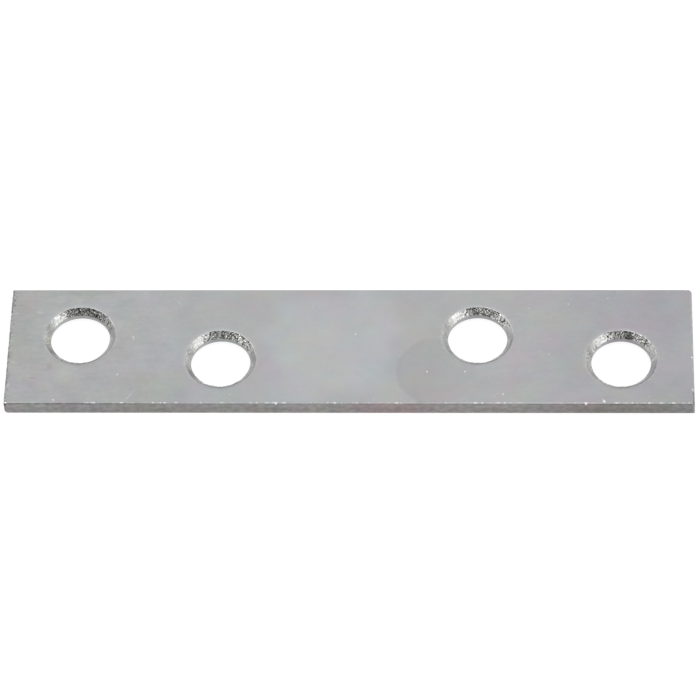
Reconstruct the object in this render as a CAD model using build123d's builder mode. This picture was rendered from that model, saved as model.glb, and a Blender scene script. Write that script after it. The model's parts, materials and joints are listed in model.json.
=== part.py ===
from build123d import *

import os

# Mending plate: a straight flat steel plate with four staggered, countersunk screw holes.
#
# Frame: origin at the centre of the flat back face, +X along the plate, +Y across it and +Z out of the
# countersunk face. Millimetres.

# Strip the plate is cut from
plate_length = 3 * IN
plate_width = 5 / 8 * IN
plate_thickness = 0.07 * IN

# Screw holes: an outer and an inner pair, stepping from side to side of the centre line
outer_hole_pitch = (2 + 3 / 8) * IN
inner_hole_pitch = (1 + 1 / 8) * IN
hole_stagger = 1 / 8 * IN
bore_diameter = 6.6
countersink_diameter = 5 / 16 * IN
countersink_angle = 82

# Edge conditions left by the press tools
pierced_rim_roll = 0.7
countersink_rim_roll = 0.16
slit_edge_roll = 0.1
cut_off_end_roll = 0.45
opposite_end_roll = 0.3
corner_radius = 0.12
worn_corner_radius = 0.25

os.makedirs("parts", exist_ok=True)

hole_centres = [
    (-outer_hole_pitch / 2, hole_stagger / 2),
    (-inner_hole_pitch / 2, -hole_stagger / 2),
    (inner_hole_pitch / 2, hole_stagger / 2),
    (outer_hole_pitch / 2, -hole_stagger / 2),
]

front_face = Plane.XY.offset(plate_thickness)
towards_far_corner = Axis((0, 0, 0), (plate_length, plate_width, 0))

with BuildPart() as plate:
    # Slit strip, seen along its length: the slitting knives roll both edges of the back face
    with BuildSketch(Plane.YZ.offset(-plate_length / 2)) as strip_section:
        with Locations((0, plate_thickness / 2)):
            Rectangle(plate_width, plate_thickness)
        fillet(strip_section.vertices().group_by(Axis.Y)[0], slit_edge_roll)
    extrude(amount=plate_length)

    # Screw holes, countersunk from the front face
    with Locations(front_face):
        with Locations(*hole_centres):
            CounterSinkHole(
                radius=bore_diameter / 2,
                counter_sink_radius=countersink_diameter / 2,
                counter_sink_angle=countersink_angle,
            )

    # The piercing punches enter from the back, so the rims there are drawn in
    fillet(plate.edges().filter_by(GeomType.CIRCLE).group_by(Axis.Z)[0], pierced_rim_roll)

    # The plating rounds the sharp rims of the countersinks
    fillet(plate.edges().filter_by(GeomType.CIRCLE).group_by(Axis.Z)[-1], countersink_rim_roll)

    # Each shear stroke parts two plates: one end is rolled at the back, the other at the front
    with BuildSketch(Plane.XZ) as side_profile:
        with Locations((0, plate_thickness / 2)):
            Rectangle(plate_length, plate_thickness)
        fillet(side_profile.vertices().group_by(Axis.X)[0].sort_by(Axis.Y)[0], cut_off_end_roll)
        fillet(side_profile.vertices().group_by(Axis.X)[-1].sort_by(Axis.Y)[-1], opposite_end_roll)
    extrude(amount=plate_width, both=True, mode=Mode.INTERSECT)

    # Blunted upright corners, the far one (+X, +Y) more than the rest
    with BuildSketch() as outline:
        Rectangle(plate_length, plate_width)
        fillet(outline.vertices().sort_by(towards_far_corner)[:-1], corner_radius)
        fillet(outline.vertices().sort_by(towards_far_corner)[-1], worn_corner_radius)
    extrude(amount=plate_thickness, mode=Mode.INTERSECT)

plate.part.label = "plate"

export_step(plate.part, "parts/plate.step")
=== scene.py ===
"""Looks of the zinc-plated mending plate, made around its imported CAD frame.

The plate's one visible piece is a fine mesh of the same plate: sheared edges with their burr and roll,
and countersinks cut rough. Metres, in the CAD's frame: +X along the plate, +Z out of the countersunk face;
the camera stands on the near side, -Y. Tables that say mm hold plain millimetres.
"""

import json
from math import atan2, cos, degrees, hypot, pi, radians, sin, tan

import bpy
import numpy as np
from mathutils import Matrix, Vector, noise
from mathutils.geometry import delaunay_2d_cdt


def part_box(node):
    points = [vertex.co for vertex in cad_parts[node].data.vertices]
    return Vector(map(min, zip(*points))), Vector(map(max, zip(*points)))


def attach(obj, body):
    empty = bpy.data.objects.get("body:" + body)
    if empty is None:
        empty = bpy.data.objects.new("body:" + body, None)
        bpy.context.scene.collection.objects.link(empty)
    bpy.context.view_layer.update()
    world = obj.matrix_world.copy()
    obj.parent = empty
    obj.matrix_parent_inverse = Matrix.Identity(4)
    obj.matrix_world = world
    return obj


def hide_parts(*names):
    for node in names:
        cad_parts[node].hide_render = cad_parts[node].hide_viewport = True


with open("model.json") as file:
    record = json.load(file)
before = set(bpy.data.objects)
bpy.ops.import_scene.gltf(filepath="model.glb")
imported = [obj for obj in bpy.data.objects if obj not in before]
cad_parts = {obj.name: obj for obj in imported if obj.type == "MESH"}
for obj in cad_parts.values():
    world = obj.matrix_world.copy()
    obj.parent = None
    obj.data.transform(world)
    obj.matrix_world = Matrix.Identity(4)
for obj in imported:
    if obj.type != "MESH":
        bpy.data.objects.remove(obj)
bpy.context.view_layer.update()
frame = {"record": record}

MM = 0.001


def sideways(azimuth):
    """The level direction at an azimuth, in degrees from +X towards +Y."""
    return (cos(radians(azimuth)), sin(radians(azimuth)), 0)


def from_mm(values):
    """Metres from a table's millimetres."""
    return [value * MM for value in values]


# The plate, from the frame
low, high = (Vector(corner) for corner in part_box("plate"))
half_length = (high.x - low.x) / 2
half_width = (high.y - low.y) / 2
bores = [mount for mount in frame["record"]["mounts"] if mount["kind"] == "bore"]
bore_radius = bores[0]["dims"]["r_mm"] * MM

# The part source's own values, in metres
countersink_radius = 5 / 32 * 25.4 * MM
countersink_half_angle = radians(41)
countersink_rim_roll = 0.16 * MM
pierced_rim_roll = 0.7 * MM
slit_edge_roll = 0.1 * MM
cut_off_end_roll = 0.45 * MM
opposite_end_roll = 0.3 * MM
corner_radius = 0.12 * MM
worn_corner_radius = 0.25 * MM

# Room for burrs: the smooth faces lie this far inside the CAD solid, and the burrs reach its surface
burr_height = 0.02 * MM
burr_overhang = 0.01 * MM
front_z = high.z - burr_height


# ------------------------ mesh of the plate


class MeshParts:
    """Vertices, faces and material numbers gathered from the strips that make up the plate."""

    def __init__(self):
        self.points = []
        self.faces = []
        self.slots = []
        self.count = 0

    def add_points(self, points):
        """Adds an (n, 3) array and returns the numbers of its vertices."""
        self.points.append(points)
        first = self.count
        self.count += len(points)
        return np.arange(first, self.count)

    def add_band(self, rows, row_slots):
        """Adds closed rings of points, shaped (rings, stations, 3), joined by quads with a slot for each."""
        rings, stations, _ = rows.shape
        numbers = self.add_points(rows.reshape(-1, 3)).reshape(rings, stations)
        for ring in range(rings - 1):
            here, below = numbers[ring], numbers[ring + 1]
            for i in range(stations):
                j = (i + 1) % stations
                self.faces.append((here[i], below[i], below[j], here[j]))
                self.slots.append(row_slots[ring][i])
        return numbers

    def add_flat(self, outer, holes, upward, slot):
        """Fills the flat face between an outer ring and hole rings of vertices that exist already."""
        points = np.concatenate(self.points)
        rings = [outer, *holes]
        numbers = np.concatenate(rings)
        edges = []
        first = 0
        for ring in rings:
            size = len(ring)
            edges += [(first + i, first + (i + 1) % size) for i in range(size)]
            first += size
        ring_of = np.repeat(np.arange(len(rings)), [len(ring) for ring in rings])
        flat = [Vector(points[n][:2] / MM) for n in numbers]
        inside = 1  # triangles inside the outer ring
        closest = 1e-6  # points nearer than this many mm are one
        _, _, triangles, origins, _, _ = delaunay_2d_cdt(flat, edges, [], inside, closest)
        for triangle in triangles:
            corners = [origins[v][0] for v in triangle]
            touched = {int(ring_of[c]) for c in corners}
            if len(touched) == 1 and 0 not in touched:
                continue  # this one closes a hole
            corners = [int(numbers[c]) for c in corners]
            self.faces.append(tuple(corners if upward else reversed(corners)))
            self.slots.append(slot)


# How far the noise moves from one seed to the next
SEED_SHIFT = np.array((17.3, 5.1, 9.7))

# Scales that stretch the noise upright or sideways, or drop its height
UPRIGHT = (1, 1, 0.12)
SIDEWAYS = (0.6, 0.6, 1)
FLAT = (1, 1, 0)


def fractal(points, grain, octaves=3, seed=0):
    """Smooth noise of about -1 to 1 at each point of an (..., 3) array; grain is its coarsest size."""
    increment, lacunarity = 0.7, 2.0
    places = points.reshape(-1, 3) / grain + seed * SEED_SHIFT
    values = [noise.fractal(Vector(place), increment, lacunarity, octaves) for place in places]
    return np.array(values).reshape(points.shape[:-1])


def smoothstep(low_edge, high_edge, x):
    """0 below the low edge and 1 above the high one, eased between them."""
    t = np.clip((x - low_edge) / (high_edge - low_edge), 0, 1)
    return t * t * (3 - 2 * t)


def hump(x, centre, width):
    """1 at the centre, falling off as a bell curve."""
    return np.exp(-(((x - centre) / width) ** 2))


# The plate's material slots
FACE, BURR, EDGE, RIM, COUNTERSINK, LAND = range(6)

# The outline's sides, counter-clockwise: near, +X end, far, -X end. Each corner follows the side it ends.
SIDE_TURNS = (-pi / 2, 0, pi / 2, pi)
CORNER_SIGNS = ((1, -1), (1, 1), (-1, 1), (-1, -1))
CORNER_RADII = (corner_radius, worn_corner_radius, corner_radius, corner_radius)

# How far each side is rolled at the front and at the back, and how strong its burr is
SHARP = 0.03 * MM
TOP_ROLLS = np.array((0.13 * MM, opposite_end_roll, SHARP, 0.08 * MM))
BOTTOM_ROLLS = np.array((slit_edge_roll, 0.08 * MM, slit_edge_roll, cut_off_end_roll))
TOP_BURRS = (1.0, 0.0, 0.15, 0.5)

# The +X end was cut down through the front face, which stands in this much
END_LEAN = 0.06 * MM

# Knocks along the edges of the front face: place and depth
END_NICKS = ((half_length, -1.45 * MM), (half_length, -5.9 * MM))
NICKS = (
    (END_NICKS[0], 0.14 * MM),
    (END_NICKS[1], 0.14 * MM),
    ((half_length - 0.7 * MM, half_width), 0.05 * MM),
    ((-half_length, half_width - 0.5 * MM), 0.06 * MM),
    ((-half_length, 0.3 * MM - half_width), 0.06 * MM),
)
NICK_LENGTH = 0.12 * MM
NICK_REACH = 0.4 * MM

# The burr's bead: how far in it stands, its half width, its middling height and how much that wavers
BURR_PLACE, BURR_WIDTH = 0.13 * MM, 0.07 * MM
BURR_LEVEL, BURR_WAVER = 0.55, 0.9

# How deep the sheared edge's textures go
SCORING_DEPTH, TEARING_DEPTH, CRUMBLE_DEPTH = 0.003 * MM, 0.004 * MM, 0.08 * MM

STATION_PITCH = 0.18 * MM
CORNER_STEPS = 4
BAND_WIDTH = 1.3 * MM  # how far the edge strip reaches in over the front and back faces

# The edge strip's rings: shares of the band over the front face, depths below it in mm, heights above the
# back face in mm, and shares of the band over that
FRONT_SHARES = (1, 0.55, 0.3, 0.16, 0.1, 0.06, 0.03, 0)
FRONT_DEPTHS = (0.003, 0.01, 0.02, 0.03, 0.06, 0.1, 0.16, 0.23, 0.3)
MIDDLE_STEPS = 5
BACK_HEIGHTS = (0.45, 0.36, 0.28, 0.2, 0.14, 0.09, 0.055, 0.03, 0.01, 0)
BACK_SHARES = (0.15, 0.5, 1)
BURR_SHARE = 0.1  # the burr's material begins this far in on the front face
BURR_DEPTH = 0.02  # and ends above this depth, in mm
CHIPPED_RINGS = slice(4, 12)  # the front corner's, chipped through to the sheared face at the -X end


def side_steps(k):
    """How many steps a side of the outline is cut into."""
    return round(2 * (half_length if k % 2 == 0 else half_width) / STATION_PITCH)


def outline(insets):
    """The plate's rounded outline, each side moved inwards by its own inset: an (n, 2) array."""
    near, right, far, left = insets
    reach = {1: half_length - right, -1: half_length - left}
    depth = {1: half_width - far, -1: half_width - near}
    centres = []
    for (sx, sy), radius in zip(CORNER_SIGNS, CORNER_RADII):
        centres.append(np.array([sx * (reach[sx] - radius), sy * (depth[sy] - radius)]))
    points = []
    for k, turn in enumerate(SIDE_TURNS):
        outward = np.array([cos(turn), sin(turn)])
        start = centres[k - 1] + CORNER_RADII[k - 1] * outward
        end = centres[k] + CORNER_RADII[k] * outward
        steps = side_steps(k)
        points += [start + (end - start) * i / steps for i in range(1, steps)]
        for i in range(CORNER_STEPS + 1):
            angle = turn + pi / 2 * i / CORNER_STEPS
            points.append(centres[k] + CORNER_RADII[k] * np.array([cos(angle), sin(angle)]))
    return np.array(points)


def around_outline(values):
    """One value for each side, and its outward direction, at every station; blended round the corners."""
    carried, directions = [], []
    for k, turn in enumerate(SIDE_TURNS):
        straight = side_steps(k) - 1
        carried += [values[k]] * straight
        directions += [(cos(turn), sin(turn))] * straight
        following = values[(k + 1) % 4]
        for i in range(CORNER_STEPS + 1):
            angle = turn + pi / 2 * i / CORNER_STEPS
            carried.append(values[k] + (following - values[k]) * i / CORNER_STEPS)
            directions.append((cos(angle), sin(angle)))
    return np.array(carried), np.array(directions)


def roll_inset(rolls, depth):
    """How far rolled edges have drawn in at a depth below the face they are rolled from."""
    short = np.clip(rolls - depth, 0, None)
    return rolls - np.sqrt(rolls**2 - short**2)


def edge_rings():
    """The edge strip's rings, from front to back: the inset of each side, the height and the slot."""
    rings = []

    def add(inset, height, slot):
        lean = np.array((0, END_LEAN * height / high.z, 0, 0))
        rings.append((inset + lean, height, slot))

    for share in FRONT_SHARES:
        inset = TOP_ROLLS + share * (BAND_WIDTH - TOP_ROLLS)
        add(inset, front_z, FACE if share > BURR_SHARE else BURR)
    for depth in FRONT_DEPTHS:
        slot = BURR if depth < BURR_DEPTH else EDGE
        add(roll_inset(TOP_ROLLS, depth * MM), front_z - depth * MM, slot)
    middle_top, middle_bottom = front_z - FRONT_DEPTHS[-1] * MM, BACK_HEIGHTS[0] * MM
    for i in range(1, MIDDLE_STEPS):
        add(0 * TOP_ROLLS, middle_top + (middle_bottom - middle_top) * i / MIDDLE_STEPS, EDGE)
    for height in BACK_HEIGHTS:
        add(roll_inset(BOTTOM_ROLLS, height * MM), height * MM, EDGE if height > 0 else FACE)
    for share in BACK_SHARES:
        add(BOTTOM_ROLLS + share * (BAND_WIDTH - BOTTOM_ROLLS), 0, FACE)
    return rings


def sheared_inset(rows, heights, normals, bead):
    """How far the sheared edge stands in: scored upright, torn under the burr, crumbled at the -X end."""
    on_edge = smoothstep(0.1 * MM, 0.3 * MM, heights)
    on_edge = on_edge * (1 - smoothstep(front_z - 0.1 * MM, front_z, heights))
    scoring = fractal(rows * UPRIGHT, 0.35 * MM, seed=2)
    tearing = fractal(rows * SIDEWAYS, 0.3 * MM, seed=3)
    torn = smoothstep(0.8 * MM, 1.1 * MM, heights)
    inward = burr_overhang * (1 - 0.9 * bead * hump(heights, front_z, 0.15 * MM))
    inward = inward + on_edge * (SCORING_DEPTH * scoring + TEARING_DEPTH * tearing * torn)
    crumbled = np.clip(fractal(rows[0] * FLAT, 0.5 * MM, 4, seed=5), 0, 1) * (normals[:, 0] < -0.9)
    return inward + CRUMBLE_DEPTH * crumbled * smoothstep(front_z - 0.35 * MM, front_z, heights)


def with_nicks(inward, rows, heights, inside):
    """The inset deepened by the knocks along the front edges."""
    for place, depth in NICKS:
        away = np.hypot(rows[..., 0] - place[0], rows[..., 1] - place[1])
        away = np.clip(away - inside, 0, None)
        dent = hump(away, 0, NICK_LENGTH) * hump(inside, 0, NICK_REACH)
        inward = inward + depth * dent * (heights > front_z / 3)
    return inward


def edge_slots(slots, rows, heights, normals):
    """A slot for each point: only the near edge keeps a bright burr, the +X end's roll is plated smooth,
    and the front corner of the -X end is chipped."""
    grid = np.repeat(np.array(slots)[:, None], len(normals), axis=1)
    on_near_side, on_right_end, on_left_end = normals[:, 1] < -0.9, normals[:, 0] > 0.6, normals[:, 0] < -0.9
    grid[(grid == BURR) & ~on_near_side[None]] = FACE
    rolled_over = (heights > front_z - opposite_end_roll - 0.01 * MM) & on_right_end[None]
    grid[(grid == EDGE) & rolled_over] = FACE
    chipped = fractal(rows[0] * FLAT, 0.6 * MM, seed=4) > 0.1
    grid[CHIPPED_RINGS, on_left_end & chipped] = EDGE
    return grid


def edge_strip():
    """The sheared edge all round: a strip from the front face, down the edge and under the back face."""
    insets, heights, slots = zip(*edge_rings())
    burr, normals = around_outline(TOP_BURRS)
    heights = np.array(heights)[:, None]
    rows = np.zeros((len(heights), len(burr), 3))
    rows[..., :2] = [outline(inset) for inset in insets]
    rows[..., 2] = heights
    # How far each point lies inside the full outline
    inside = np.minimum(half_length - np.abs(rows[..., 0]), half_width - np.abs(rows[..., 1]))
    # The burr: a ragged bead along the sheared edges of the front face
    ragged = fractal(rows[0] * FLAT, 1.1 * MM, 4, seed=1)
    bead = burr * np.clip(BURR_LEVEL + BURR_WAVER * ragged, 0.05, 1)
    rows[..., 2] += bead * burr_height * hump(inside, BURR_PLACE, BURR_WIDTH) * (heights > front_z / 2)
    near_edge = 1 - smoothstep(0.05 * MM, 0.2 * MM, inside)
    inward = np.clip(sheared_inset(rows, heights, normals, bead), 0, None) * near_edge
    rows[..., :2] -= normals[None] * with_nicks(inward, rows, heights, inside)[..., None]
    return rows, edge_slots(slots, rows, heights, normals)


# The front face sags towards each countersink: distance out from its rim and drop, in mm
RIM_SAG = ((0.6, 0), (0.3, 0), (0.2, 0.003), (0.12, 0.01), (0.05, 0.019))
RIM_DROP = 0.027 * MM

# How far each hole sits off its place
HOLE_DRIFTS = np.array(((-0.02, 0.0), (-0.08, -0.08), (-0.14, 0.03), (-0.11, -0.08))) * MM

# A hole's section: the wall's lean from level, the rounded rim's outside, and where the cone and land begin
wall_tilt = pi / 2 - countersink_half_angle
rim_outside = countersink_radius + countersink_rim_roll * tan(wall_tilt / 2)
rim_z = front_z - RIM_DROP
cone_top_radius = rim_outside - countersink_rim_roll * sin(wall_tilt)
cone_top = rim_z - countersink_rim_roll * (1 - cos(wall_tilt))
land_top = front_z - (countersink_radius - bore_radius) / tan(countersink_half_angle)

RIM_STATIONS = 400
RIM_STEPS = 6
CONE_STEPS = 17
LAND_STEPS = 3
PIERCED_RIM_STEPS = 6
BACK_MARGIN = 0.5 * MM  # how far the strip reaches out over the back face

# How deep the countersinks' textures go: the torn grain, the ragged line on the bore, and the raised lip
TEAR_DEPTH, RUN_OUT_DEPTH, LIP_HEIGHT = 0.018 * MM, 0.07 * MM, 0.2 * burr_height

# The noise of each hole has its own seed, counted from these
TEAR_SEED, LIP_SEED, RUN_OUT_SEED = 10, 30, 40

# Walls on this side of a hole, 22 degrees round from +X towards the near side, were burnished most
BURNISHED_SIDE = np.array(sideways(-22)[:2])


def hole_centre(hole):
    """Where a hole lies, with its drift."""
    return np.array(bores[hole]["pos_m"])[:2] + HOLE_DRIFTS[hole]


def hole_rings():
    """A hole strip's rings, from front to back: the radius, height and slot of each."""
    rings = []
    for margin, sag in RIM_SAG:
        rings.append((rim_outside + margin * MM, front_z - sag * MM, RIM if sag > 0 else FACE))
    for i in range(RIM_STEPS):
        angle = wall_tilt * i / RIM_STEPS
        drop = countersink_rim_roll * (1 - cos(angle))
        rings.append((rim_outside - countersink_rim_roll * sin(angle), rim_z - drop, RIM))
    for i in range(CONE_STEPS):
        share = i / CONE_STEPS
        radius = cone_top_radius + (bore_radius - cone_top_radius) * share
        rings.append((radius, cone_top + (land_top - cone_top) * share, COUNTERSINK))
    for i in range(LAND_STEPS):
        rings.append((bore_radius, land_top + (pierced_rim_roll - land_top) * i / LAND_STEPS, LAND))
    for i in range(PIERCED_RIM_STEPS + 1):
        angle = pi / 2 * i / PIERCED_RIM_STEPS
        radius = bore_radius + pierced_rim_roll * (1 - cos(angle))
        slot = LAND if i < PIERCED_RIM_STEPS else FACE
        rings.append((radius, pierced_rim_roll * (1 - sin(angle)), slot))
    rings.append((bore_radius + pierced_rim_roll + BACK_MARGIN, 0, FACE))
    return rings


def torn_wall(rows, heights, directions, hole):
    """How far the cutter's tearing moves the wall along its normal, less so where it was burnished."""
    on_cone = smoothstep(land_top - 0.02 * MM, land_top + 0.1 * MM, heights)
    on_cone = on_cone * (1 - smoothstep(cone_top - 0.05 * MM, cone_top + 0.03 * MM, heights))
    grain = fractal(rows, 0.27 * MM, 2, seed=TEAR_SEED + hole)
    burnished = 0.75 * smoothstep(0.45, 0.75, -directions[:, 0])
    burnished = np.maximum(burnished, 0.9 * smoothstep(0.55, 0.8, directions @ BURNISHED_SIDE))
    return on_cone * TEAR_DEPTH * grain * (1 - burnished)


def hole_strip(hole):
    """One screw hole: a strip from the front face, down the countersink and the bore, and under the back."""
    radii, heights, slots = zip(*hole_rings())
    radii, heights = np.array(radii)[:, None], np.array(heights)[:, None]
    angles = np.arange(RIM_STATIONS) * 2 * pi / RIM_STATIONS
    directions = np.stack([np.cos(angles), np.sin(angles)], -1)
    # The cone runs out on the bored wall along a ragged line
    bore_wall = np.stack([*directions.T * bore_radius, 0 * angles], -1)
    run_out = fractal(bore_wall, 0.9 * MM, seed=RUN_OUT_SEED + hole)
    near_run_out = hump(heights, land_top, 0.3 * MM) * (heights < cone_top) * (heights > pierced_rim_roll)
    heights = heights + RUN_OUT_DEPTH * run_out * near_run_out
    rows = np.zeros((len(radii), RIM_STATIONS, 3))
    rows[..., :2] = hole_centre(hole) + radii[..., None] * directions[None]
    rows[..., 2] = heights

    push = torn_wall(rows, heights, directions, hole)
    rows[..., :2] -= directions[None] * (push * cos(countersink_half_angle))[..., None]
    rows[..., 2] += push * sin(countersink_half_angle)

    # The countersink's lip: raised a little, and ragged
    shoulder = rows[len(RIM_SAG)][None]
    lip = 0.5 + 0.8 * fractal(shoulder * FLAT, 0.7 * MM, seed=LIP_SEED + hole)
    lip = np.clip(lip, 0, 1) * hump(radii, rim_outside, 0.07 * MM)
    rows[..., 2] += LIP_HEIGHT * lip * (heights > front_z - 0.09 * MM)
    return rows, np.repeat(np.array(slots)[:, None], RIM_STATIONS, axis=1)


def build_plate():
    """The whole plate as one mesh, with a material number for each face."""
    parts = MeshParts()
    edge_numbers = parts.add_band(*edge_strip())
    front_rings, back_rings = [], []
    for hole in range(len(bores)):
        rows, slots = hole_strip(hole)
        numbers = parts.add_band(rows[:, ::-1], slots)
        front_rings.append(numbers[0])
        back_rings.append(numbers[-1])
    parts.add_flat(edge_numbers[0], front_rings, True, FACE)
    parts.add_flat(edge_numbers[-1], back_rings, False, FACE)

    mesh = bpy.data.meshes.new("plated_steel")
    mesh.from_pydata(np.concatenate(parts.points).tolist(), [], parts.faces)
    mesh.polygons.foreach_set("material_index", parts.slots)
    mesh.polygons.foreach_set("use_smooth", [True] * len(mesh.polygons))
    mesh.update()
    plate = bpy.data.objects.new("plated_steel", mesh)
    bpy.context.scene.collection.objects.link(plate)
    return plate


# ------------------------ materials


def opaque(value):
    """A node's colour from a socket, a grey level or an RGB triple."""
    if isinstance(value, bpy.types.NodeSocket):
        return value
    if isinstance(value, (int, float)):
        return (value, value, value, 1)
    return (*value, 1)


class Nodes:
    """A node tree, with short calls for making and linking its nodes."""

    def __init__(self, tree):
        self.nodes = tree.nodes
        self.links = tree.links

    def put(self, node, inputs):
        """Links each input that is given a socket, and sets the others."""
        for key, value in inputs.items():
            if isinstance(value, bpy.types.NodeSocket):
                self.links.new(value, node.inputs[key])
            else:
                node.inputs[key].default_value = value

    def node(self, kind, inputs, **settings):
        """Adds a node and returns its outputs."""
        node = self.nodes.new(kind)
        for name, value in settings.items():
            setattr(node, name, value)
        self.put(node, inputs)
        return node.outputs

    def math(self, operation, a, b=0.0):
        return self.node("ShaderNodeMath", {0: a, 1: b}, operation=operation)[0]

    def vector(self, operation, inputs):
        return self.node("ShaderNodeVectorMath", inputs, operation=operation)


class Metal(Nodes):
    """A metal's material, with a short call for each kind of pattern used here."""

    def __init__(self, name):
        self.material = bpy.data.materials.new(name)
        self.material.use_nodes = True
        super().__init__(self.material.node_tree)
        self.shader = self.nodes["Principled BSDF"]
        self.shader.inputs["Metallic"].default_value = 1
        self.place = self.node("ShaderNodeTexCoord", {})["Object"]

    def axes(self):
        """The place along X, across Y and up Z, in metres."""
        return self.node("ShaderNodeSeparateXYZ", {0: self.place})

    def times(self, *levels):
        """The product of the levels."""
        product = levels[0]
        for level in levels[1:]:
            product = self.math("MULTIPLY", product, level)
        return product

    def fit(self, value, from_low, from_high, to_low=0, to_high=1):
        """The value carried from one range to the other, held at the ends and eased between them."""
        inputs = {"Value": value, "From Min": from_low, "From Max": from_high}
        inputs |= {"To Min": to_low, "To Max": to_high}
        return self.node("ShaderNodeMapRange", inputs, interpolation_type="SMOOTHSTEP")[0]

    def mix(self, factor, a, b, blend="MIX"):
        """Two colours mixed; a colour is a socket, a grey level or an RGB triple."""
        inputs = {0: factor, 6: opaque(a), 7: opaque(b)}
        return self.node("ShaderNodeMix", inputs, data_type="RGBA", blend_type=blend)[2]

    def tint(self, colour, tint, where=1.0):
        """The colour multiplied by a tint, everywhere or where a mask says."""
        return self.mix(where, colour, tint, "MULTIPLY")

    def moved(self, shift=(0, 0, 0), scale=(1, 1, 1)):
        inputs = {"Vector": self.place, "Location": shift, "Scale": scale}
        return self.node("ShaderNodeMapping", inputs)[0]

    def clouds(self, grain, detail=2.0, roughness=0.5, scale=(1, 1, 1), shift=(0, 0, 0)):
        """Noise of 0 to 1 whose coarsest lumps are about grain across; scale below 1 stretches them."""
        inputs = {"Vector": self.moved(shift, scale), "Scale": 1 / grain}
        inputs |= {"Detail": detail, "Roughness": roughness}
        return self.node("ShaderNodeTexNoise", inputs)["Fac"]

    def tints(self, grain, strength):
        """A colour that wavers about white, each channel by itself and blue the least."""
        inputs = {"Vector": self.moved((strength, grain * 7, 0)), "Scale": 1 / grain, "Detail": 2.0}
        wild = self.node("ShaderNodeTexNoise", inputs)["Color"]
        share = np.array((1.1, 1.0, 0.75)) * strength
        return self.mix(1.0, self.tint(wild, tuple(2 * share)), tuple(1 - share), "ADD")

    def patch(self, centre, radii, grain, softness=0.5, wobble=0.4, turn=0):
        """1 inside a blotch with a wavering outline, easing to 0 outside it; turn is in degrees.

        Its centre and radii are in the plane, or in space."""
        centre, radii = (*centre, 0)[:3], (*radii, 1e3)[:3]
        away = self.moved([-c for c in centre])
        inputs = {"Vector": away, "Rotation": (0, 0, radians(-turn)), "Scale": (1, 1, 1)}
        away = self.node("ShaderNodeMapping", inputs)[0]
        inputs = {"Vector": away, "Scale": [1 / radius for radius in radii]}
        away = self.node("ShaderNodeMapping", inputs)[0]
        away = self.vector("LENGTH", {0: away})["Value"]
        waver = self.times(self.clouds(grain, 1.0, shift=(centre[0], 0, 0.01)), wobble)
        edge = 1 + wobble / 2
        return self.fit(self.math("ADD", away, waver), edge - softness, edge + softness, 1, 0)

    def scratch(self, start, end, width):
        """1 along a thin broken line on the front face."""
        run, rise = end[0] - start[0], end[1] - start[1]
        centre = ((start[0] + end[0]) / 2, (start[1] + end[1]) / 2, high.z)
        radii = (hypot(run, rise) / 2, width / 2, 0.8 * MM)
        line = self.patch(centre, radii, 1 * MM, wobble=0, turn=degrees(atan2(rise, run)))
        return self.times(line, self.fit(self.clouds(0.25 * MM), 0.35, 0.6, 0.2, 1))

    def facing(self, towards, begin, end, level, start=1):
        """A level that eases from start to level as the surface's lean towards a direction goes from
        begin to end; a lean is the cosine of an angle."""
        normal = self.node("ShaderNodeNewGeometry", {})["True Normal"]
        lean = self.vector("DOT_PRODUCT", {0: normal, 1: towards})["Value"]
        return self.fit(lean, begin, end, start, level)

    def facing_far(self, begin, end, level):
        """As facing, along +Y, but only where the surface hardly leans sideways."""
        normal = self.node("ShaderNodeNewGeometry", {})["True Normal"]
        sideways, across, _ = self.node("ShaderNodeSeparateXYZ", {0: normal})
        sideways = self.times(self.math("ABSOLUTE", sideways), 0.5)
        return self.fit(self.math("SUBTRACT", across, sideways), begin, end, 1, level)

    def facets(self, grain, tilt):
        """The surface's normal, leaned another way in each grain, as on torn metal."""
        inputs = {"Vector": self.place, "Scale": 1 / grain, "Randomness": 1}
        wild = self.node("ShaderNodeTexVoronoi", inputs)["Color"]
        lean = self.vector("SUBTRACT", {0: wild, 1: (0.5, 0.5, 0.5)})[0]
        lean = self.vector("SCALE", {0: lean, "Scale": self.times(tilt, 2.0)})[0]
        normal = self.node("ShaderNodeNewGeometry", {})["Normal"]
        return self.vector("NORMALIZE", {0: self.vector("ADD", {0: normal, 1: lean})[0]})[0]

    def bump(self, height, depth, below=None):
        """Bumps from a 0 to 1 height that stands depth proud, over those below."""
        inputs = {"Height": height, "Distance": depth, "Strength": 1}
        if below is not None:
            inputs["Normal"] = below
        return self.node("ShaderNodeBump", inputs)[0]

    def finish(self, **sockets):
        """Gives the shader its colour, roughness and normal, and returns the material."""
        names = {"colour": "Base Color", "roughness": "Roughness", "normal": "Normal"}
        self.put(self.shader, {names[key]: value for key, value in sockets.items()})
        return self.material


# The zinc's colour, and its clouds of tint: grain in mm, and strength
ZINC = (0.449, 0.454, 0.456)
ZINC_TINTS = ((4.5, 0.09), (1.6, 0.05), (0.35, 0.03))

# Wide faint stains in the zinc: centre, radii and grain in mm, softness, wobble, turn in degrees, and tint
ZINC_STAINS = (
    ((-2, 0.5), (8, 7), 6, 0.3, 0.9, 45, (1.07, 1.085, 1.11)),
    ((-39, 1), (6, 9), 5, 0.5, 0.4, 0, (0.955, 0.95, 0.94)),
    ((40, 0), (18, 30), 6, 0.4, 0.3, 0, (0.955, 0.925, 0.965)),
    ((-25, -6.5), (7, 2.5), 3, 0.5, 0.4, 0, (0.93, 0.95, 0.94)),
    ((36, -6.5), (3.5, 2.5), 3, 0.5, 0.4, 0, (0.92, 0.95, 0.94)),
    ((38, 6), (9, 4.5), 4, 0.5, 0.4, 0, (0.95, 0.945, 0.955)),
)


def tinted(metal, colour, tints):
    """The colour under a table's clouds of tint."""
    for grain, strength in tints:
        colour = metal.tint(colour, metal.tints(grain * MM, strength))
    return colour


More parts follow.
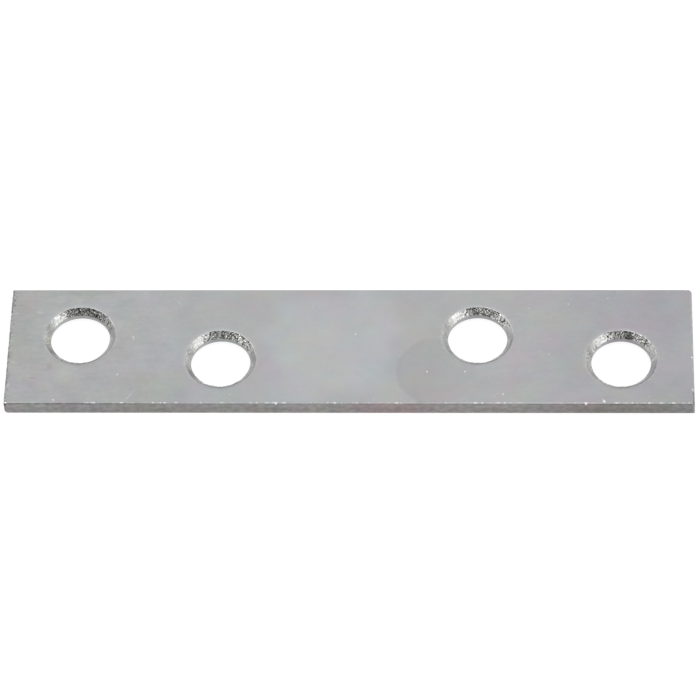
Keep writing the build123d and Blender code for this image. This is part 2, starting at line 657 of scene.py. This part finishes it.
def stained(metal, colour, stains):
    """The colour under a table's stains."""
    for centre, radii, grain, softness, wobble, turn, tint in stains:
        stain = metal.patch(from_mm(centre), from_mm(radii), grain * MM, softness, wobble, turn)
        colour = metal.tint(colour, tint, stain)
    return colour


def mottle(metal):
    """Rubbed and blotchy lightness, strongest towards the -X end: a level about 1."""
    along = metal.axes()[0]
    left = metal.fit(along, -28 * MM, -10 * MM, 0.1, 0.025)
    right = metal.fit(along, 4 * MM, 22 * MM, 0, 0.03)
    strength = metal.math("ADD", left, right)
    blotches = metal.clouds(2.4 * MM, 5.0, 0.78, scale=(0.7, 1, 1), shift=(0.02, 0.01, 0))
    rubbing = metal.clouds(0.6 * MM, 3.0, 0.8, scale=(0.4, 1, 1), shift=(0.01, 0.03, 0))
    rubbed_share = 0.38
    blotches, rubbing = metal.times(blotches, 1 - rubbed_share), metal.times(rubbing, rubbed_share)
    lowest, highest = metal.math("SUBTRACT", 1.0, strength), metal.math("ADD", 1.0, strength)
    return metal.fit(metal.math("ADD", blotches, rubbing), 0.25, 0.75, lowest, highest)


def hole_stain(metal, colour):
    """The colour with a round stain on the front face left of the third hole, darkest at its left rim."""
    radii = (4.4 * MM, 4.6 * MM)
    stain = metal.patch((9.6 * MM, -3.4 * MM, high.z), (*radii, 1.2 * MM), 3 * MM, 0.06, 0.25)
    stain = metal.times(stain, metal.fit(metal.axes()[0], 8 * MM, 14 * MM, 1, 0.2))
    colour = metal.tint(colour, (0.94, 0.92, 0.93), stain)
    within = metal.patch((9.9 * MM, -3.4 * MM), radii, 3 * MM, 0.1, 0.25)
    rim = metal.times(stain, metal.math("SUBTRACT", 1.0, within))
    return metal.tint(colour, (0.96, 0.95, 0.97), rim)


def plating(metal):
    """The zinc's colour over the whole plate: faint clouds of many tints, and a few stains."""
    colour = stained(metal, tinted(metal, ZINC, ZINC_TINTS), ZINC_STAINS)
    colour = metal.tint(hole_stain(metal, colour), mottle(metal))
    smudge = metal.patch((-33.3 * MM, -2.7 * MM, high.z), (0.35 * MM, 0.55 * MM, 1 * MM), 1 * MM)
    return metal.tint(colour, (0.9, 0.89, 0.9), smudge)


def specks(metal, spacing, size, share):
    """1 on tiny ragged specks, one in each of a share of the cells that are spacing across."""
    inputs = {"Vector": metal.place, "Scale": 1 / spacing, "Randomness": 1}
    cells = metal.node("ShaderNodeTexVoronoi", inputs, voronoi_dimensions="2D")
    ragged = metal.times(metal.clouds(0.12 * MM), size / spacing)
    away = metal.math("ADD", cells["Distance"], ragged)
    speck = metal.fit(away, size / spacing, 1.5 * size / spacing, 1, 0)
    chance = metal.node("ShaderNodeSeparateColor", {0: cells["Color"]})[0]
    return metal.times(speck, metal.fit(chance, 0, share, 1, 0))


# Marks on the front face reach this far down from it
MARK_DEPTH = 0.5 * MM

# Grey levels where the zinc is bare or worn through; the nicks' level is also a painted glint, and the rim's
# is a painted highlight
FAINT_SPECK, BRIGHT_SPECK, BARE_SPECK = 0.7, 0.75, 0.72
BARE_NICK_GLINT, BARE_CRUMB, BARE_CHIP = 1.0, 0.64, 0.75
WORN_CORNER, RIM_HIGHLIGHT = 0.36, 0.9

# Tints where it is dark: crumbs and a chipped corner, and painted shade on the +X end's roll and under the
# near burr
END_SHADE_TINT, CRUMB_TINT, CORNER_CRUMB_TINT = 0.5, 0.66, 0.55
BURR_SHADOW_EDGE_TINT, BURR_SHADOW_TINT, CHIPPED_TINT = 0.68, 0.6, 0.4

# Rubbed spots near the -X end: centre and radii in mm, and tone
SMUDGES = (
    ((-37.65, 4.6), (0.35, 0.14), 1.14),
    ((-34.85, 4.75), (0.4, 0.18), 1.14),
    ((-35.8, 1.35), (0.35, 0.18), 1.08),
    ((-37.5, -2.2), (0.4, 0.14), 1.12),
    ((-37.75, -5.4), (0.25, 0.3), 1.14),
    ((-35.1, -4.4), (0.45, 0.12), 0.88),
    ((-37.1, 5.75), (0.4, 0.12), 0.9),
    ((-30.0, 7.7), (5, 0.5), 0.94),
)

# Bare bright specks, by their centres in mm
SPECKS = ((-32.6, -7.4), (-24.2, 1.3), (-25.7, -3.9), (0.6, 1.7), (8.6, -3.5), (12.8, -3.5), (17.0, -6.6))

# Scratches: start, end and width in mm, and grey level. The last is a gouge by the near edge.
SCRATCHES = (
    ((-19.8, 6.7), (-18.9, 5.7), 0.07, 0.62),
    ((-24.8, -7.7), (-23.7, -6.1), 0.07, 0.62),
    ((-8.4, -7.6), (-8.0, -7.9), 0.07, 0.62),
    ((2.6, -7.6), (2.9, -6.9), 0.07, 0.62),
    ((15.9, -6.9), (16.6, -6.4), 0.07, 0.62),
    ((-31.8, 3.9), (-31.2, 3.8), 0.07, 0.62),
    ((27.9, -7.3), (28.4, -7.95), 0.26, 0.9),
)


def rubbed_spots(metal, colour):
    """The colour with the lighter and duller rubbed spots."""
    for centre, radii, tone in SMUDGES:
        centre, radii = (*from_mm(centre), high.z), (*from_mm(radii), MARK_DEPTH)
        colour = metal.tint(colour, tone, metal.patch(centre, radii, 0.3 * MM, wobble=0.5))
    return colour


def bare_specks(metal, colour):
    """The colour with the bare bright specks."""
    for place in SPECKS:
        radii = (0.09 * MM, 0.11 * MM, MARK_DEPTH)
        speck = metal.patch((*from_mm(place), high.z), radii, 0.2 * MM, wobble=0.5)
        colour = metal.mix(speck, colour, BARE_SPECK)
    return colour


def bare_glinting_nicks(metal, colour):
    """The colour with the nicks at the +X end and at the near left corner bare, and painted white as glints.
    """
    corner_nick = (0.24 * MM - half_length, 0.12 * MM - half_width)
    for x, y in (*END_NICKS, corner_nick):
        centre, radii = (x - 0.1 * MM, y, front_z), (0.2 * MM, 0.13 * MM, 0.28 * MM)
        nick = metal.patch(centre, radii, 0.3 * MM, wobble=0.3)
        colour = metal.mix(nick, colour, BARE_NICK_GLINT)
    return colour


def shaded_end(metal, colour):
    """The colour with painted shade in dashes along the +X end's rolled edge, most of them by the near
    corner.
    """
    along, across, _ = metal.axes()
    at_end = metal.fit(along, half_length - 0.32 * MM, half_length - 0.24 * MM)
    by_corner = metal.fit(across, -6.1 * MM, -5.7 * MM, 1, 0.25)
    dashes = metal.fit(metal.clouds(0.5 * MM, 3.0, 0.7, shift=(0, 0.02, 0)), 0.36, 0.52)
    return metal.tint(colour, END_SHADE_TINT, metal.times(at_end, by_corner, dashes))


def crumbled_end(metal, colour):
    """The colour with dark and bare crumbs along the sheared -X end, darkest by the far corner."""
    along, across, _ = metal.axes()
    at_end = metal.fit(along, 0.15 * MM - half_length, 0.7 * MM - half_length, 1, 0)
    crumbs = metal.clouds(0.3 * MM, 3.0, 0.7, shift=(0.01, 0.01, 0))
    dark = metal.times(at_end, metal.fit(crumbs, 0.4, 0.48, 1, 0))
    colour = metal.tint(colour, CRUMB_TINT, dark)
    by_corner = metal.fit(across, 5.2 * MM, 6 * MM)
    colour = metal.tint(colour, CORNER_CRUMB_TINT, metal.times(dark, by_corner))
    bare = metal.times(at_end, metal.fit(crumbs, 0.58, 0.7))
    return metal.mix(bare, colour, BARE_CRUMB)


def face_material():
    """Rolled strip under satin bright zinc: cloudy colour, fine grain, bright specks and fine scratches."""
    metal = Metal("zinc_face")
    bright_specks = specks(metal, spacing=2.2 * MM, size=0.1 * MM, share=0.08)
    faint_specks = specks(metal, spacing=1.1 * MM, size=0.09 * MM, share=0.25)
    colour = metal.mix(metal.times(faint_specks, 0.25), plating(metal), FAINT_SPECK)
    colour = metal.mix(bright_specks, colour, BRIGHT_SPECK)
    for start, end, width, level in SCRATCHES:
        colour = metal.mix(metal.scratch(from_mm(start), from_mm(end), width * MM), colour, level)
    for add_marks in (rubbed_spots, bare_specks, shaded_end, crumbled_end, bare_glinting_nicks):
        colour = add_marks(metal, colour)
    # Painted shade: the face's sag round the holes is slightly darker where it faces the far side
    colour = metal.tint(colour, metal.facing_far(0.003, 0.02, 0.93))
    grain = metal.bump(metal.clouds(0.5 * MM, 3.0), 0.0025 * MM)
    grain = metal.bump(bright_specks, 0.02 * MM, grain)
    roughness = metal.fit(metal.clouds(3 * MM, 3.0), 0.3, 0.7, 0.38, 0.45)
    return metal.finish(colour=colour, roughness=roughness, normal=grain)


# Where the near burr is broken, along X
CHIPS = (-8 * MM, 26.1 * MM)

# The sheared edge's tint on the zinc, its clouds of tint, and its stains, with values as for the zinc's
SHEARED_TINT = (0.65, 0.637, 0.64)
SHEARED_TINTS = ((1.6, 0.06), (0.4, 0.05))
NEAR_MM = -half_width / MM
SHEARED_STAINS = (
    ((0, NEAR_MM), (32, 20), 5, 0.15, 0.1, 0, (1.0, 0.965, 0.945)),
    ((29.5, NEAR_MM), (6.5, 4), 3, 0.5, 0.3, 0, (0.87, 0.87, 0.86)),
    ((4.5, NEAR_MM), (4, 3), 2, 0.5, 0.6, 0, (1.03, 0.91, 0.94)),
    ((29, NEAR_MM), (4.5, 3), 2, 0.5, 0.4, 0, (0.97, 0.98, 0.93)),
)


def burr_shadow_line(metal):
    """1 in dashes along the corner above the near edge towards the -X end: a painted shadow under the burr.
    """
    along, across, height = metal.axes()
    left_part = metal.fit(along, -31 * MM, -18 * MM, 1, 0)
    outer = metal.fit(across, 0.06 * MM - half_width, 0.16 * MM - half_width, 1, 0)
    upper = metal.fit(height, high.z - 0.22 * MM, high.z - 0.1 * MM)
    dashes = metal.clouds(0.9 * MM, 3.0, 0.6, scale=(1, 0, 0), shift=(0.03, 0, 0))
    dashes = metal.fit(dashes, 0.38, 0.54, 0.25, 1)
    return metal.times(left_part, outer, upper, dashes)


def edge_marks(metal, colour):
    """The colour with the near edge's painted shadow line under the burr and two bright chips, and its
    corners' marks.
    """
    along, across, _ = metal.axes()
    # Painted shadow under the near burr, in dashes towards the -X end
    colour = metal.tint(colour, BURR_SHADOW_EDGE_TINT, burr_shadow_line(metal))
    for x in CHIPS:
        centre, radii = (x, -half_width, high.z), (0.12 * MM, 1 * MM, 0.24 * MM)
        colour = metal.mix(metal.patch(centre, radii, 0.3 * MM, 0.4, 0.5), colour, BARE_CHIP)
    centre, radii = (-half_length, -half_width, high.z - 0.3 * MM), (0.3 * MM, 0.4 * MM, 0.22 * MM)
    colour = metal.tint(colour, CHIPPED_TINT, metal.patch(centre, radii, 0.3 * MM, 0.4, 0.3))
    at_right_end = metal.math("GREATER_THAN", along, half_length - 0.2 * MM)
    on_near_side = metal.fit(across, 0.15 * MM - half_width, 0.3 * MM - half_width, 1, 0)
    return metal.mix(metal.times(at_right_end, on_near_side), colour, WORN_CORNER)


def edge_material():
    """The sheared edge: duller than the faces and more so towards +X, pitted, with rusty tints and painted
    shade at mid-height.
    """
    metal = Metal("zinc_edge")
    colour = metal.tint(plating(metal), SHEARED_TINT)
    colour = stained(metal, tinted(metal, colour, SHEARED_TINTS), SHEARED_STAINS)
    # Painted shade: darker at mid-height of the edge, lighter towards its top and bottom
    off_middle = metal.math("ABSOLUTE", metal.math("SUBTRACT", metal.axes()[2], 0.7 * MM))
    colour = metal.tint(colour, metal.fit(off_middle, 0, 0.7 * MM, 0.94, 1.03))
    pits = metal.fit(metal.clouds(0.5 * MM, 3.0, 0.6, scale=(0.7, 1, 1)), 0.3, 0.7, 0.86, 1.15)
    colour = edge_marks(metal, metal.tint(colour, pits))
    scoring = metal.bump(metal.clouds(0.2 * MM, 3.0, scale=(1, 1, 0.35)), 0.012 * MM)
    return metal.finish(colour=colour, roughness=0.5, normal=scoring)


def burr_dashes(metal, along):
    """1 on the bare dashes of the near burr, painted bright as its glints: none at its -X end, few from x =
    20 to 27 mm, and both chips.
    """
    fine = metal.fit(metal.clouds(0.62 * MM, 3.5, 0.7, scale=(1, 0, 0)), 0.47, 0.6)
    groups = metal.clouds(3.2 * MM, 2.0, 0.6, scale=(1, 0, 0), shift=(0.013, 0, 0))
    between_groups = metal.fit(along, 26 * MM, 31 * MM, 0.12, 0.5)
    groups = metal.fit(groups, 0.42, 0.56, between_groups, 1)
    begun = metal.fit(along, -32.5 * MM, -29 * MM)
    before = metal.fit(along, 18 * MM, 20 * MM, 1, 0.3)
    after = metal.fit(along, 27.5 * MM, 30 * MM, 0, 0.7)
    dash = metal.times(fine, groups, begun, metal.math("ADD", before, after))
    for x in CHIPS:
        chip = metal.patch((x, -half_width), (0.2 * MM, 0.5 * MM), 0.3 * MM, softness=0.4)
        dash = metal.math("MAXIMUM", dash, chip)
    return dash


def burr_material():
    """The burr along the near edge: bare steel in dashes of all lengths, painted bright as its glints, plated
    between them.
    """
    metal = Metal("zinc_burr")
    along = metal.axes()[0]
    dash = burr_dashes(metal, along)
    # Painted highlight: the burr's line is lighter than the plating, most of all from x = 20 to 27 mm
    level = metal.times(
        metal.fit(along, 0, 20 * MM, 1.03, 1.12),
        metal.fit(along, 27 * MM, 30 * MM, 1, 0.95),
        metal.fit(along, -35 * MM, -30 * MM, 1.06, 1),
    )
    # The painted shadow under the burr darkens the burr too, in dashes towards the -X end
    colour = metal.tint(metal.tint(plating(metal), level), BURR_SHADOW_TINT, burr_shadow_line(metal))
    # The bare dashes are painted brighter than steel, as the burr's glints
    colour = metal.mix(dash, colour, (0.8, 0.78, 0.77))
    return metal.finish(colour=bare_glinting_nicks(metal, colour), roughness=metal.fit(dash, 0, 1, 0.42, 0.28))


# Directions in which the walls of a countersink face
X, Y = (1, 0, 0), (0, 1, 0)
MOSTLY_LEFT = sideways(158)
FAR_LEFT = sideways(135)
NEAR_LEFT = sideways(231)


def rim_material():
    """The countersink's rounded shoulder, with painted glints, a painted highlight on its far right, and
    painted shade where it faces the far side.
    """
    metal = Metal("zinc_rim")
    # Painted glints: lighter random dashes on the shoulder
    glint = metal.fit(metal.clouds(0.35 * MM, 2.0), 0.46, 0.62)
    colour = metal.mix(glint, plating(metal), (0.48, 0.48, 0.475))
    # Painted shade where the shoulder faces the far side, and a little where it faces far left
    colour = metal.tint(colour, metal.facing_far(0.05, 0.2, 0.4))
    colour = metal.tint(colour, metal.facing(FAR_LEFT, 0.1, 0.3, 0.85))
    # Painted highlight: these burnished dashes are bright only on the far right of the shoulder, where it
    # faces near left
    burnished = metal.fit(metal.clouds(0.4 * MM, 2.0, shift=(0.02, 0, 0)), 0.36, 0.52)
    highlight_side = metal.facing(NEAR_LEFT, 0.4, 0.5, 1, start=0)
    colour = metal.mix(metal.times(burnished, highlight_side), colour, RIM_HIGHLIGHT)
    grain = metal.bump(metal.clouds(0.25 * MM, 2.0), 0.012 * MM)
    return metal.finish(colour=colour, roughness=0.3, normal=grain)


# Lighter and duller places on the countersinks' walls: hole, angle from +X in degrees, radii in mm, tone
WALL_TONES = (
    (0, -28, (0.8, 1.0), 0.86),
    (0, 3, (0.8, 0.6), 1.12),
    (0, 103, (0.9, 0.5), 0.85),
    (0, 165, (0.5, 0.8), 0.8),
    (0, 187, (0.8, 0.6), (1.04, 1.06, 0.97)),
    (1, -28, (0.8, 1.0), 0.9),
    (1, 30, (0.8, 0.7), 0.88),
    (1, 60, (0.8, 0.55), 1.55),
    (1, 83, (0.8, 0.4), 1.25),
    (1, 98, (0.8, 0.4), 0.88),
    (1, 180, (0.8, 0.5), 0.92),
    (1, 213, (0.8, 1.0), 0.82),
    (2, -28, (0.8, 1.0), 0.92),
    (2, 3, (0.8, 0.6), 1.12),
    (2, 52, (0.9, 0.7), 1.35),
    (2, 84, (0.8, 0.5), 0.86),
    (3, -28, (0.8, 0.8), 1.1),
    (3, -5, (0.8, 0.9), 1.22),
    (3, 57, (0.6, 0.5), 1.35),
    (3, 75, (0.6, 0.45), 0.42),
    (3, 135, (0.8, 0.6), 0.87),
    (3, 180, (0.8, 0.6), 1.12),
)


def toned_walls(metal, colour):
    """The colour with each countersink's own lighter and duller places, halfway down its wall."""
    reach = (countersink_radius + bore_radius) / 2
    for hole, angle, radii, tone in WALL_TONES:
        centre = hole_centre(hole) + reach * np.array(sideways(angle)[:2])
        place = metal.patch(centre, from_mm(radii), 0.5 * MM, turn=angle)
        colour = metal.tint(colour, tone, place)
    return colour


def countersink_material():
    """Steel torn by the cutter under bright zinc, so it glitters, with painted glitter, light and shade;
    smoother on the -X and near +X sides.
    """
    metal = Metal("zinc_countersink")
    # Light and dark speckle: partly the torn steel's own tone, partly painted glitter and painted shade in
    # its pits
    torn = metal.fit(metal.clouds(0.2 * MM, 1.0), 0.36, 0.64)
    colour = metal.mix(torn, (0.42, 0.42, 0.41), (0.59, 0.59, 0.575))
    # Painted shade on the near walls, which face +Y
    colour = metal.tint(colour, metal.facing(Y, 0.15, 0.5, 0.38))
    # The far right wall of the first hole is darker
    dark_wall = metal.patch((-28.6 * MM, 4.6 * MM), (2.7 * MM, 1.7 * MM), 1 * MM, softness=0.3, turn=-35)
    colour = metal.tint(colour, 0.68, dark_wall)
    # Painted light on the +X walls, which face -X
    colour = metal.tint(colour, metal.facing(X, -0.725, -0.755, 1.14))
    # A burnished wall shows more of the plating; a mix factor below 0 counts as 0
    burnished = metal.facing(MOSTLY_LEFT, 0.5, 0.65, 0.6, start=-0.4)
    colour = metal.mix(burnished, colour, metal.tint(plating(metal), 1.12))
    # Painted shade on the near right walls, which face far left
    colour = metal.tint(colour, metal.facing(FAR_LEFT, 0.55, 0.68, 0.78))
    colour = toned_walls(metal, colour)
    # The torn grain leans less, and is duller, where it was burnished
    smoother = (metal.facing(X, 0.34, 0.56, 0.4), metal.facing(MOSTLY_LEFT, 0.42, 0.6, 0.2))
    duller = (metal.facing(X, 0.4, 0.7, 3.0), metal.facing(MOSTLY_LEFT, 0.42, 0.6, 2.5))
    torn_tilt, torn_roughness = 0.13, 0.12
    facets = metal.facets(0.22 * MM, metal.times(*smoother, torn_tilt))
    return metal.finish(colour=colour, roughness=metal.times(*duller, torn_roughness), normal=facets)


def land_material():
    """The pierced wall below the countersink, smooth and duller, with painted light where it faces +X."""
    metal = Metal("zinc_land")
    colour = metal.tint(plating(metal), (0.7, 0.705, 0.705))
    # Painted light: lighter where the wall faces +X
    colour = metal.tint(colour, metal.facing(X, 0.1, 0.8, 1.35))
    scoring = metal.bump(metal.clouds(0.2 * MM, 2.0, scale=(1, 1, 0.2)), 0.008 * MM)
    return metal.finish(colour=colour, roughness=0.35, normal=scoring)


# In the order of the plate's material slots
MATERIALS = (face_material, burr_material, edge_material, rim_material, countersink_material, land_material)


# ------------------------ stage, light and camera


def face_centre(placed, azimuth, elevation, distance):
    """Puts an object at a distance from the plate, in degrees round from +X and up, turned to face it."""
    turn, lean = radians(azimuth), radians(elevation)
    towards = Vector((cos(turn) * cos(lean), sin(turn) * cos(lean), sin(lean)))
    placed.location = towards * distance
    placed.rotation_euler = towards.to_track_quat("Z", "Y").to_euler()
    bpy.context.scene.collection.objects.link(placed)
    placed.visible_camera = False


def area_lamp(name, azimuth, elevation, distance, width, height, radiance):
    """A soft box facing the plate; radiance 1 is white."""
    lamp = bpy.data.lights.new(name, "AREA")
    lamp.shape = "RECTANGLE"
    lamp.size, lamp.size_y = width, height
    lamp.energy = radiance * pi * width * height
    face_centre(bpy.data.objects.new(name, lamp), azimuth, elevation, distance)


def rectangle(name, width, height, material):
    """A flat card in its own XY plane."""
    mesh = bpy.data.meshes.new(name)
    w, h = width / 2, height / 2
    mesh.from_pydata([(-w, -h, 0), (w, -h, 0), (w, h, 0), (-w, h, 0)], [], [(0, 1, 2, 3)])
    mesh.materials.append(material)
    return bpy.data.objects.new(name, mesh)


def stage_material(name):
    """A material whose node tree is empty, and that tree."""
    material = bpy.data.materials.new(name)
    material.use_nodes = True
    material.node_tree.nodes.clear()
    return material, Nodes(material.node_tree)


def dark_card(name, azimuth, elevation, distance, width, height, level):
    """A dark card that only reflections see, as a studio sets one up to give bright metal contrast."""
    material, tree = stage_material(name)
    glow = tree.node("ShaderNodeEmission", {"Color": opaque(level)})[0]
    tree.node("ShaderNodeOutputMaterial", {"Surface": glow})
    card = rectangle(name, width, height, material)
    face_centre(card, azimuth, elevation, distance)
    card.visible_diffuse = False
    card.visible_shadow = False


def background_rays(tree):
    """1 for the rays that see the background as white: camera, glossy and transmission rays."""
    rays = tree.node("ShaderNodeLightPath", {})
    seen = tree.math("MAXIMUM", rays["Is Camera Ray"], rays["Is Glossy Ray"])
    return tree.math("MAXIMUM", seen, rays["Is Transmission Ray"])


def either(tree, factor, first, second):
    """The first shader where the factor is 0, and the second where it is 1."""
    return tree.node("ShaderNodeMixShader", {0: factor, 1: first, 2: second})[0]


def white_floor():
    """A white floor that keeps the plate's shadow, and isn't there for a camera below it."""
    material, tree = stage_material("floor")
    plain = tree.node("ShaderNodeBsdfDiffuse", {"Color": opaque(0.8)})[0]
    shaded = tree.node("ShaderNodeBsdfDiffuse", {"Color": opaque(0.3)})[0]
    glow = tree.node("ShaderNodeEmission", {"Color": opaque(0.84)})[0]
    white = tree.node("ShaderNodeAddShader", {0: shaded, 1: glow})[0]
    upper = either(tree, background_rays(tree), plain, white)
    underneath = tree.node("ShaderNodeNewGeometry", {})["Backfacing"]
    clear = tree.node("ShaderNodeBsdfTransparent", {})[0]
    tree.node("ShaderNodeOutputMaterial", {"Surface": either(tree, underneath, upper, clear)})
    side = 6.0
    floor = rectangle("floor", side, side, material)
    floor.location.z = low.z - 0.01 * MM
    bpy.context.scene.collection.objects.link(floor)


def studio_world():
    """Soft light from all sides, seen as white."""
    world = bpy.data.worlds.new("studio")
    bpy.context.scene.world = world
    world.use_nodes = True
    world.node_tree.nodes.clear()
    tree = Nodes(world.node_tree)
    soft = tree.node("ShaderNodeBackground", {"Color": opaque(0.75)})[0]
    white = tree.node("ShaderNodeBackground", {"Color": opaque(1.0)})[0]
    tree.node("ShaderNodeOutputWorld", {"Surface": either(tree, background_rays(tree), soft, white)})


def add_camera():
    """A long lens above the near side, turned and tipped a little, as the plate was photographed."""
    azimuth, elevation, roll = radians(3.65), radians(52.8), radians(2.9)
    target = Vector((0.01 * MM, -0.52 * MM, high.z))
    distance = 493.4 * MM
    data = bpy.data.cameras.new("camera")
    data.sensor_width = 36
    data.lens = 228.67
    camera = bpy.data.objects.new("camera", data)
    bpy.context.scene.collection.objects.link(camera)
    turn = Matrix.Rotation(azimuth, 4, "Z") @ Matrix.Rotation(pi / 2 - elevation, 4, "X")
    turn = turn @ Matrix.Rotation(-roll, 4, "Z")
    camera.matrix_world = Matrix.Translation(target) @ turn @ Matrix.Translation((0, 0, distance))
    bpy.context.scene.camera = camera


# The small lamps that the countersinks' torn grain picks up
GLINTS = ((-172, 8), (-152, 20), (-112, 28), (-92, 24))

# Lamps and dark cards: name, azimuth and elevation in degrees, distance, width and height in metres, and
# radiance or grey level
LAMPS = (
    ("overhead", -90, 80, 0.6, 1.0, 0.4, 0.4),
    ("right_box", -21, 19, 0.5, 0.28, 0.28, 0.8),
    ("low_box", 45, 9, 0.5, 0.4, 0.14, 0.7),
    *((f"glint_{-azimuth}", azimuth, elevation, 0.5, 0.035, 0.035, 3) for azimuth, elevation in GLINTS),
)
CARDS = (
    *((f"front_slat_{slat}", -162 + 20 * slat, 27, 0.5, 0.1, 0.36, 0.06) for slat in range(6)),
    ("gap_card", 16, 4, 0.5, 0.1, 0.12, 0.3),
    ("back_card", 103, 12, 0.5, 0.32, 0.26, 0.05),
)

bpy.context.scene.view_settings.view_transform = "Standard"
add_camera()
studio_world()
white_floor()
for lamp_values in LAMPS:
    area_lamp(*lamp_values)
for card_values in CARDS:
    dark_card(*card_values)

plate = build_plate()
for make_material in MATERIALS:
    plate.data.materials.append(make_material())
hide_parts("plate")
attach(plate, "root")
